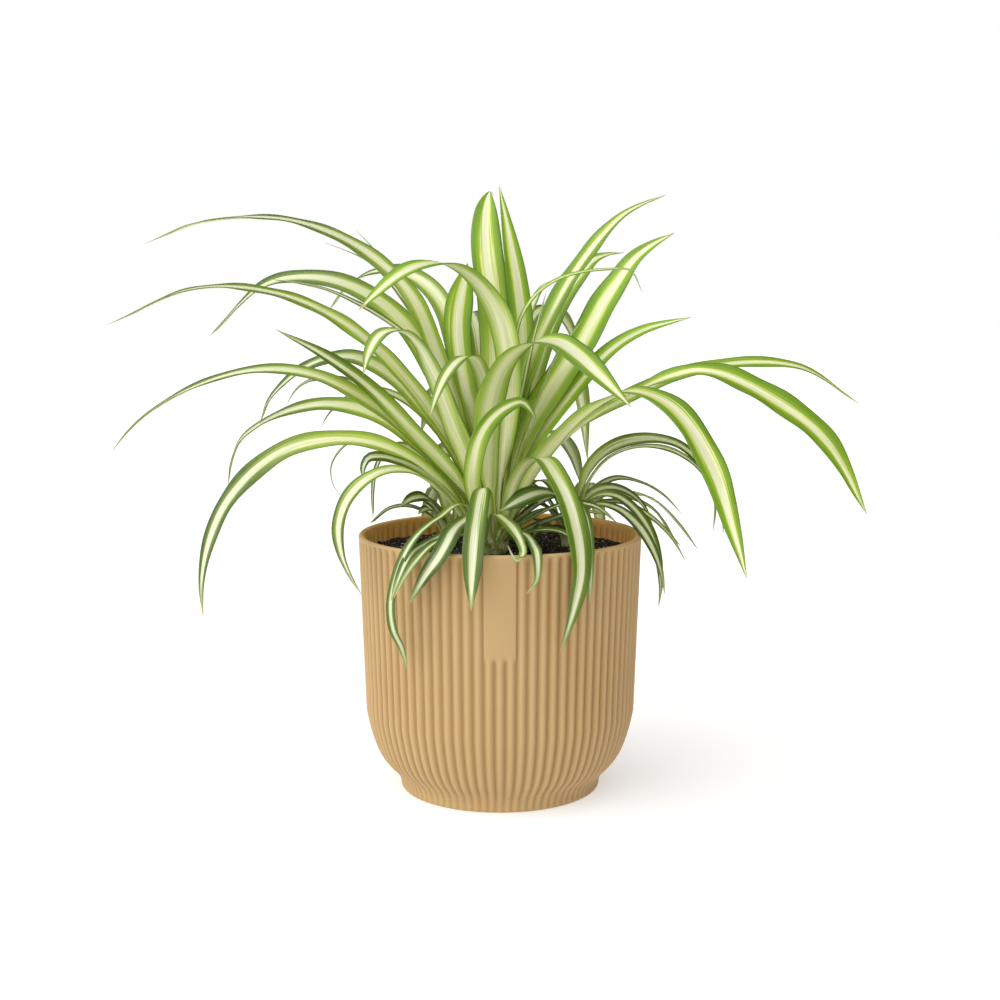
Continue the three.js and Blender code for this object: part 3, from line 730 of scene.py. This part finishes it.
def blade(name, stations, near_tone, far_tone, stripe, pale):
    """Lays a grid along a leaf's stations, channels it and gives it its thickness."""
    luck = random.Random(name)
    lengths = lengths_along(stations)
    base_length = lengths[2]  # the two stations of its sheath come before this one
    rows = max(20, round(lengths[-1] / ROW_LENGTH))
    at = lengths[-1] * (np.arange(rows + 1) / rows)
    flow = through(stations, lengths, at)
    centre = flow[:, :3]
    along = np.gradient(centre, at, axis=0)
    along /= np.linalg.norm(along, axis=1)[:, None]
    up = flow[:, 3:6] - along * np.sum(flow[:, 3:6] * along, axis=1)[:, None]
    up /= np.linalg.norm(up, axis=1)[:, None]
    right = np.cross(along, up)
    blade_share = np.clip((at - base_length) / (lengths[-1] - base_length), 0, 1)
    width = np.maximum(flow[:, 6], TIP_WIDTH + 0.8 * eased(1 - blade_share, 0, 0.1))

    half = ACROSS_CELLS // 2
    middle_of_cell = (np.arange(half) + 0.5) / half
    fold = BASE_FOLD + (MIDDLE_FOLD - BASE_FOLD) * eased(blade_share, 0.0, 0.4)
    fold += (TIP_FOLD - MIDDLE_FOLD) * eased(blade_share, 0.65, 1.0)
    sharpness = 1 - 0.62 * eased(at, 0, base_length + 12)
    curl = math.radians(luck.uniform(*MARGIN_CURL)) * eased(blade_share, 0.12, 0.5)
    wrap = np.clip(width / (2 * CROWN_WRAP), 0, 1.1) * (1 - eased(at, base_length * 0.4, base_length + 8))
    slope = np.maximum(fold, wrap)[:, None] * middle_of_cell ** sharpness[:, None]
    slope -= curl[:, None] * middle_of_cell ** 5
    cell = (width / ACROSS_CELLS)[:, None]
    out = np.concatenate([np.zeros((rows + 1, 1)), np.cumsum(np.cos(slope) * cell, axis=1)], axis=1)
    rise = np.concatenate([np.zeros((rows + 1, 1)), np.cumsum(np.sin(slope) * cell, axis=1)], axis=1)
    opened = np.minimum((width / 2) / out[:, -1], 1.4)[:, None]  # so that its margins reach its width
    out *= opened
    rise *= opened

    bpy.ops.object.select_all(action="DESELECT")
    bpy.ops.mesh.primitive_grid_add(x_subdivisions=ACROSS_CELLS, y_subdivisions=rows, size=1)
    leaf = bpy.context.object
    leaf.name = name
    count = len(leaf.data.vertices)
    flat = np.empty(count * 3)
    leaf.data.vertices.foreach_get("co", flat)
    flat = flat.reshape(-1, 3)
    aside = np.rint(flat[:, 0] * ACROSS_CELLS).astype(int)
    row = np.rint((flat[:, 1] + 0.5) * rows).astype(int)
    across = aside / half
    wave_phase = {1: luck.uniform(0, 6.3), -1: luck.uniform(0, 6.3), 0: 0.0}
    wave_length = luck.uniform(*WAVE_LENGTHS)
    phase = np.array([wave_phase[side] for side in np.sign(aside)])
    wave = np.sin(2 * math.pi * at[row] / wave_length + phase)
    wave += 0.5 * np.sin(3.7 * at[row] / wave_length + phase)
    wave *= MARGIN_WAVE * width[row] * np.abs(across) ** 2 * eased(blade_share[row], 0.1, 0.3)
    drop = KEEL_DROP * width * eased(at, base_length, base_length + 10)
    lift = rise[row, np.abs(aside)] + wave - drop[row]
    sideways = np.sign(aside) * out[row, np.abs(aside)]
    points = centre[row] + right[row] * sideways[:, None] + up[row] * lift[:, None]
    leaf.data.vertices.foreach_set("co", (points * MM).ravel())

    seed = luck.uniform(0, 100)
    tone = near_tone + (far_tone - near_tone) * eased(blade_share, 0.25, 0.85)
    dry = luck.choice(DRY_TIPS)
    facts = {
        "across": across, "along": at[row], "share": blade_share[row], "under": np.zeros(count),
        "slender": np.clip((SLENDER_BELOW - width[row]) / SLENDER_OVER, 0, 1),
        "seed": np.full(count, seed), "dry": np.full(count, dry),
        "tone": np.clip(tone[row] + luck.uniform(-0.15, 0.15), 0, 1),
        "stripe": np.full(count, stripe + luck.uniform(-0.05, 0.04)), "pale": np.full(count, pale)}
    for fact, values in facts.items():
        layer = leaf.data.attributes.new(fact, "FLOAT", "POINT")
        layer.data.foreach_set("value", values)
    thick = leaf.vertex_groups.new(name="thick")
    weights = MARGIN_SHARE + (1 - MARGIN_SHARE) * np.exp(-(across / MIDRIB_SPREAD) ** 2)
    weights *= np.minimum(width[row] * 0.3 / MIDRIB_THICKNESS, 1)
    for index, weight in enumerate(weights.tolist()):
        thick.add([index], weight, "REPLACE")
    skin = leaf.modifiers.new("skin", "SOLIDIFY")
    skin.thickness = MIDRIB_THICKNESS * MM
    skin.offset = -1
    skin.vertex_group = "thick"
    bpy.ops.object.modifier_apply(modifier="skin")
    leaf.vertex_groups.clear()
    below = np.concatenate([np.zeros(count), np.ones(len(leaf.data.vertices) - count)])
    leaf.data.attributes["under"].data.foreach_set("value", below)
    bpy.ops.object.shade_smooth()
    return leaf


def variegated_leaf():
    """Spider plant leaf: a thin waxy skin over wet tissue. A cream stripe without chlorophyll runs
    down the middle, then a yellow-green line, then satin green margins ruled with fine veins. Light
    glows through it a little, and its underside is paler and duller."""
    finish, tree = new_finish("variegated_living_leaf")
    fact = {name: add(tree, "ShaderNodeAttribute", attribute_name=name).outputs["Fac"] for name in (
        "across", "along", "share", "under", "slender", "seed", "dry", "tone", "stripe", "pale")}

    # fine veins, ruled along the leaf: about 1 mm apart, coarser than life so that they show
    veins_across = add(tree, "ShaderNodeMath", {0: fact["across"], 1: VEINS_ACROSS}, operation="MULTIPLY")
    veins_along = add(tree, "ShaderNodeMath", {0: fact["along"], 1: VEINS_ALONG}, operation="MULTIPLY")
    ruled = add(tree, "ShaderNodeCombineXYZ", {
        "X": veins_across.outputs[0], "Y": veins_along.outputs[0], "Z": fact["seed"]})
    veins = add(tree, "ShaderNodeTexNoise", {
        "Vector": ruled.outputs[0], "Scale": 1.0, "Detail": 3.0, "Roughness": 0.55})
    broad = add(tree, "ShaderNodeCombineXYZ", {
        "X": fact["across"], "Y": veins_along.outputs[0], "Z": fact["seed"]})
    patches = add(tree, "ShaderNodeTexNoise", {"Vector": broad.outputs[0], "Scale": 1.6, "Detail": 1.0})

    # how far from the stripe's edge: the stripe lies a little to one side, and the veins fray it
    to_side = add(tree, "ShaderNodeMapRange", {
        "Value": patches.outputs["Fac"], "From Min": 0.3, "From Max": 0.7, "To Min": -0.12, "To Max": 0.12})
    shifted = add(tree, "ShaderNodeMath", {0: fact["across"], 1: to_side.outputs[0]}, operation="ADD")
    aside = add(tree, "ShaderNodeMath", {0: shifted.outputs[0]}, operation="ABSOLUTE")
    fray = add(tree, "ShaderNodeMapRange", {
        "Value": veins.outputs["Fac"], "From Min": 0.25, "From Max": 0.75, "To Min": -0.24, "To Max": 0.24})
    frayed = add(tree, "ShaderNodeMath", {0: aside.outputs[0], 1: fray.outputs[0]}, operation="ADD")
    from_stripe = add(tree, "ShaderNodeMath", {0: frayed.outputs[0], 1: fact["stripe"]}, operation="SUBTRACT")
    ramp_at = add(tree, "ShaderNodeMath", {0: from_stripe.outputs[0], 1: 0.5}, operation="ADD")
    fresh = add(tree, "ShaderNodeValToRGB", {"Fac": ramp_at.outputs[0]}, stops=[
        (0.40, LEAF_CREAM), (0.47, LEAF_LIME), (0.51, LEAF_CREAM), (0.57, LEAF_LIME),
        (0.68, LEAF_GREEN), (1.0, LEAF_DEEP)])
    olive = add(tree, "ShaderNodeValToRGB", {"Fac": ramp_at.outputs[0]}, stops=[
        (0.42, OLIVE_CREAM), (0.57, OLIVE_GREEN), (0.88, OLIVE_DEEP)])
    striped = add(tree, "ShaderNodeMix", {
        "Factor": fact["tone"], "A": fresh.outputs["Color"], "B": olive.outputs["Color"]}, data_type="RGBA")
    patch_shade = add(tree, "ShaderNodeMapRange", {
        "Value": patches.outputs["Fac"], "From Min": 0.3, "From Max": 0.7, "To Min": 0.86, "To Max": 1.1})

    # paler and duller below, and pale towards the base
    below = add(tree, "ShaderNodeValToRGB", {"Fac": ramp_at.outputs[0]}, stops=[
        (0.50, UNDER_CREAM), (0.76, UNDER_GREEN), (1.05, UNDER_EDGE)])
    dulled = add(tree, "ShaderNodeMapRange", {"Value": fact["tone"], "To Min": 0.8, "To Max": 0.45})
    paler = add(tree, "ShaderNodeMath", {0: fact["under"], 1: dulled.outputs[0]}, operation="MULTIPLY")
    sided = add(tree, "ShaderNodeMix", {
        "Factor": paler.outputs[0], "A": striped.outputs[2], "B": below.outputs["Color"]},
        data_type="RGBA")
    young = add(tree, "ShaderNodeValToRGB", {"Fac": ramp_at.outputs[0]}, stops=[
        (0.45, BASE_CREAM), (0.72, BASE_LIME), (1.0, BASE_EDGE)])
    reach = add(tree, "ShaderNodeMath", {0: fact["pale"], 1: 0.69}, operation="MULTIPLY")
    to_base = add(tree, "ShaderNodeMapRange", {
        "Value": fact["share"], "From Min": 0.05, "From Max": reach.outputs[0],
        "To Min": 1.0, "To Max": 0.0})
    paled = add(tree, "ShaderNodeMath", {0: to_base.outputs[0], 1: 0.92}, operation="MULTIPLY")
    based = add(tree, "ShaderNodeMix", {
        "Factor": paled.outputs[0], "A": sided.outputs[2], "B": young.outputs["Color"]},
        data_type="RGBA")

    # fine grey-green threads between the veins, plainer slender leaves, painted shade at the margins and dry
    # tips
    fine_across = add(tree, "ShaderNodeMath", {0: fact["across"], 1: THREADS_ACROSS}, operation="MULTIPLY")
    fine_along = add(tree, "ShaderNodeMath", {0: fact["along"], 1: THREADS_ALONG}, operation="MULTIPLY")
    finely_ruled = add(tree, "ShaderNodeCombineXYZ", {
        "X": fine_across.outputs[0], "Y": fine_along.outputs[0], "Z": fact["seed"]})
    threads = add(tree, "ShaderNodeTexNoise", {
        "Vector": finely_ruled.outputs[0], "Scale": 1.0, "Detail": 2.0, "Roughness": 0.5})
    thread = add(tree, "ShaderNodeMapRange", {
        "Value": threads.outputs["Fac"], "From Min": 0.55, "From Max": 0.72, "To Min": 0.0, "To Max": 0.55})
    nearer = add(tree, "ShaderNodeMapRange", {"Value": fact["share"], "To Min": 1.0, "To Max": 0.2})
    drawn = add(tree, "ShaderNodeMath", {0: thread.outputs[0], 1: nearer.outputs[0]}, operation="MULTIPLY")
    veined = add(tree, "ShaderNodeMix", {
        "Factor": drawn.outputs[0], "A": based.outputs[2], "B": colour(VEIN_GREY)}, data_type="RGBA")
    even = add(tree, "ShaderNodeMath", {0: fact["slender"], 1: fact["tone"]}, operation="MULTIPLY")
    evened = add(tree, "ShaderNodeMix", {
        "Factor": even.outputs[0], "A": veined.outputs[2], "B": colour(SLENDER_OLIVE)}, data_type="RGBA")
    # the margins are painted darker: painted shade along the folded edges
    to_margin = add(tree, "ShaderNodeMath", {0: fact["across"]}, operation="ABSOLUTE")
    margin = add(tree, "ShaderNodeMapRange", {
        "Value": to_margin.outputs[0], "From Min": 0.86, "From Max": 1.0, "To Min": 0.0, "To Max": 0.55})
    margin_shaded = add(tree, "ShaderNodeMix", {
        "Factor": margin.outputs[0], "A": evened.outputs[2], "B": colour(MARGIN_PAINTED_SHADE)}, data_type="RGBA")
    streak = add(tree, "ShaderNodeMapRange", {
        "Value": veins.outputs["Fac"], "From Min": 0.3, "From Max": 0.7, "To Min": 0.84, "To Max": 1.12})
    shade = add(tree, "ShaderNodeMath", {
        0: patch_shade.outputs[0], 1: streak.outputs[0]}, operation="MULTIPLY")
    varied = add(tree, "ShaderNodeVectorMath", {
        0: margin_shaded.outputs[2], "Scale": shade.outputs[0]}, operation="SCALE")
    dry_from = add(tree, "ShaderNodeMath", {0: 1.0, 1: fact["dry"]}, operation="SUBTRACT")
    past_dry = add(tree, "ShaderNodeMath", {0: fact["share"], 1: dry_from.outputs[0]}, operation="SUBTRACT")
    dryness = add(tree, "ShaderNodeMapRange", {
        "Value": past_dry.outputs[0], "From Min": 0.0, "From Max": 0.012, "To Min": 0.0, "To Max": 0.9})
    tinted = add(tree, "ShaderNodeMix", {
        "Factor": dryness.outputs[0], "A": varied.outputs[0], "B": colour(LEAF_DRY)}, data_type="RGBA")

    gloss = add(tree, "ShaderNodeMapRange", {
        "Value": fact["under"], "From Min": 0.0, "From Max": 1.0, "To Min": 0.42, "To Max": 0.6})
    relief = add(tree, "ShaderNodeBump", {
        "Height": veins.outputs["Fac"], "Strength": 0.2, "Distance": 0.2 * MM})
    skin = add(tree, "ShaderNodeBsdfPrincipled", {
        "Base Color": tinted.outputs[2], "Roughness": gloss.outputs[0], "IOR": 1.42,
        "Subsurface Weight": 0.4, "Subsurface Radius": (0.9, 1.0, 0.3), "Subsurface Scale": 2.0 * MM,
        "Normal": relief.outputs["Normal"]})
    add(tree, "ShaderNodeOutputMaterial", {"Surface": skin.outputs["BSDF"]})
    return finish


leaf_finish = variegated_leaf()
for node in sorted(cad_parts):
    if "leaf" not in node:
        continue
    group = "_".join(node.split("_")[:2])
    crown = {"small_left": "left", "small_right": "right"}.get(group, "main")
    if node in OVER_RIM:
        group = "over_rim"
    elif node in FRESH_RIM:
        group = "fresh_rim"
    stations = stations_of(node)
    stations[:, 6] *= SLIMMER.get(node, 1.0)
    if node in CRESTS:
        stations = rounded_crest(stations, *CRESTS[node])
    if node in CURLED_TIPS:
        curled = len(CURLED_TIPS[node]) + 1
        stations[-curled:-1, 6] *= CURLED_TIPS[node]
    leaf = blade(f"blade_{node}", sheathed(stations, crown), *LOOKS[group])
    leaf.data.materials.append(leaf_finish)
    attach(leaf, "root")
    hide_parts(node)

# ---- the young leaves ----
# Small leaves that grow between the large ones, most of them from the two offsets: the same living
# tissue, only shorter, darker and more folded. Each is laid along its own route, as the large are.
YOUNG_LEAVES = [  # look, crown, heading in degrees, width, roll in degrees, route of (reach, height) in mm
    ("leaf_left", "main", 158, 6.0, -25, [
        (12, 148), (30, 169), (51, 185), (74, 202), (91, 205), (102, 204), (110, 200), (118, 189)]),
    ("leaf_left", "main", 150, 6.0, -25, [
        (12, 150), (28, 174), (48, 192), (62, 198), (74, 199), (87, 196), (94, 191), (101, 185), (106, 177)]),
    ("leaf_left", "main", 172, 2.6, -20, [
        (12, 136), (28, 158), (47, 173), (66, 177), (75, 173), (80, 168), (83, 162), (82, 152), (77, 145)]),
    ("over_rim", "main", 240, 6.5, 0, [(12, 126), (34, 135), (59, 133), (76, 129), (86, 119), (92, 110)]),
    ("leaf_left", "main", 150, 2.2, 0, [
        (8, 150), (22, 195), (39, 230), (55, 253.5), (63, 263.7), (72, 273), (81, 280.7)]),
    ("leaf_left", "main", 160, 2.2, 0, [
        (8, 150), (20, 195), (35, 225.5), (49, 246.5), (60, 259.6), (68, 265.7), (80, 270.8), (91, 274.4)]),
    ("leaf_top", "main", 20, 5.0, 0, [(8, 150), (12, 180), (17, 205), (23, 230), (29, 250)]),
    ("leaf_top", "main", 350, 4.5, 15, [(8, 148), (15, 175), (24, 200), (34, 222), (45, 236)]),
    ("leaf_top", "main", 60, 5.5, 0, [(8, 150), (15, 185), (24, 212), (36, 236), (52, 252), (66, 256)]),
    ("young_leaf", "left", 225, 9.0, -30, [(4, 128), (9, 141), (17, 147), (26, 147), (34, 143.5)]),
    ("young_leaf", "left", 240, 8.0, -20, [(4, 126), (9, 135), (16, 140.5), (22, 142), (30, 140)]),
    ("young_leaf", "left", 60, 6.5, 0, [(4, 128), (10, 142), (20, 149), (33, 148), (43, 140)]),
    ("young_leaf", "right", -14, 6.5, 10, [
        (5, 135), (9, 152), (20, 166), (35, 172), (54, 170), (66, 162), (74, 149), (79, 136), (79, 128)]),
    ("young_leaf", "right", 14, 5.5, 20, [
        (4, 130), (10, 142), (21, 147), (37, 142), (46, 137), (53, 128), (58, 120), (61, 117)]),
    ("young_leaf", "right", 40, 6.0, 20, [(4, 130), (10, 140), (21, 144), (39, 144), (62, 139)]),
    ("young_leaf", "right", 28, 5.0, 20, [(4, 130), (12, 146), (26, 153), (44, 150), (60, 141), (70, 131)]),
    ("young_leaf", "right", 350, 5.0, 20, [(4, 128), (12, 141), (26, 143), (40, 137), (52, 126), (60, 113)]),
    ("young_leaf", "right", 210, 7.5, 0, [(4, 126), (9, 137), (18, 143), (26, 144), (33, 138), (36, 129)]),
    ("young_leaf", "right", 190, 8.0, 0, [(4, 124), (11, 131), (22, 135), (34, 134), (44, 128)]),
    ("young_leaf", "right", 175, 8.0, 0, [(4, 126), (10, 138), (20, 145), (32, 147), (42, 144)]),
    ("young_leaf", "right", 240, 8.0, 0, [(4, 124), (12, 130), (24, 134), (36, 132), (45, 126)]),
    ("young_leaf", "right", 160, 6.0, 0, [(4, 126), (10, 141), (19, 150), (31, 153), (40, 150)]),
    ("young_leaf", "right", 120, 6.0, 0, [(4, 128), (10, 142), (20, 150), (33, 150), (44, 142)]),
    ("small_right", "main", 335, 7.5, 15, [(7, 126), (16, 134), (28, 142), (42, 147), (56, 146), (68, 138)]),
    ("small_right", "main", 352, 7.5, 15, [(7, 125), (17, 131), (30, 137), (44, 141), (58, 140)]),
    ("small_right", "main", 12, 7.0, 15, [(7, 128), (16, 138), (28, 146), (39, 149), (49, 148)]),
    ("small_right", "main", 25, 6.5, 10, [(7, 126), (17, 134), (28, 139), (38, 139)]),
    ("small_right", "main", 318, 6.5, 10, [(7, 124), (16, 129), (27, 133), (38, 135), (48, 134), (56, 129)]),
]


def young_stations(crown, heading, width, roll, route):
    """The centre, up direction and width of a young leaf at each point of its route."""
    axis_x, axis_y, radius = CROWNS[crown]
    ahead = Vector((math.cos(math.radians(heading)), math.sin(math.radians(heading)), 0.0))
    spots = [Vector((axis_x, axis_y, 0)) + ahead * reach + Vector((0, 0, height)) for reach, height in route]
    stations = []
    for index, spot in enumerate(spots):
        share = index / (len(spots) - 1)
        before, after = spots[max(index - 1, 0)], spots[min(index + 1, len(spots) - 1)]
        along = (after - before).normalized()
        across = Vector((-ahead.y, ahead.x, 0.0))
        across.rotate(Quaternion(along, math.radians(roll) * min(3 * share, 1)))
        swell = 0.45 + 0.55 * math.sin(math.pi / 2 * min(share / 0.4, 1))
        narrowed = 1 - max((share - 0.5) / 0.5, 0) ** 1.8
        wide = max(width * swell * narrowed, TIP_WIDTH)
        stations.append([*spot, *along.cross(across).normalized(), wide])
    return np.array(stations)


for number, (look, crown, heading, width, roll, route) in enumerate(YOUNG_LEAVES, start=1):
    stations = young_stations(crown, heading, width, roll, route)
    leaf = blade(f"young_leaf_{number:02d}", sheathed(stations, crown), *LOOKS[look])
    leaf.data.materials.append(leaf_finish)
    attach(leaf, "root")
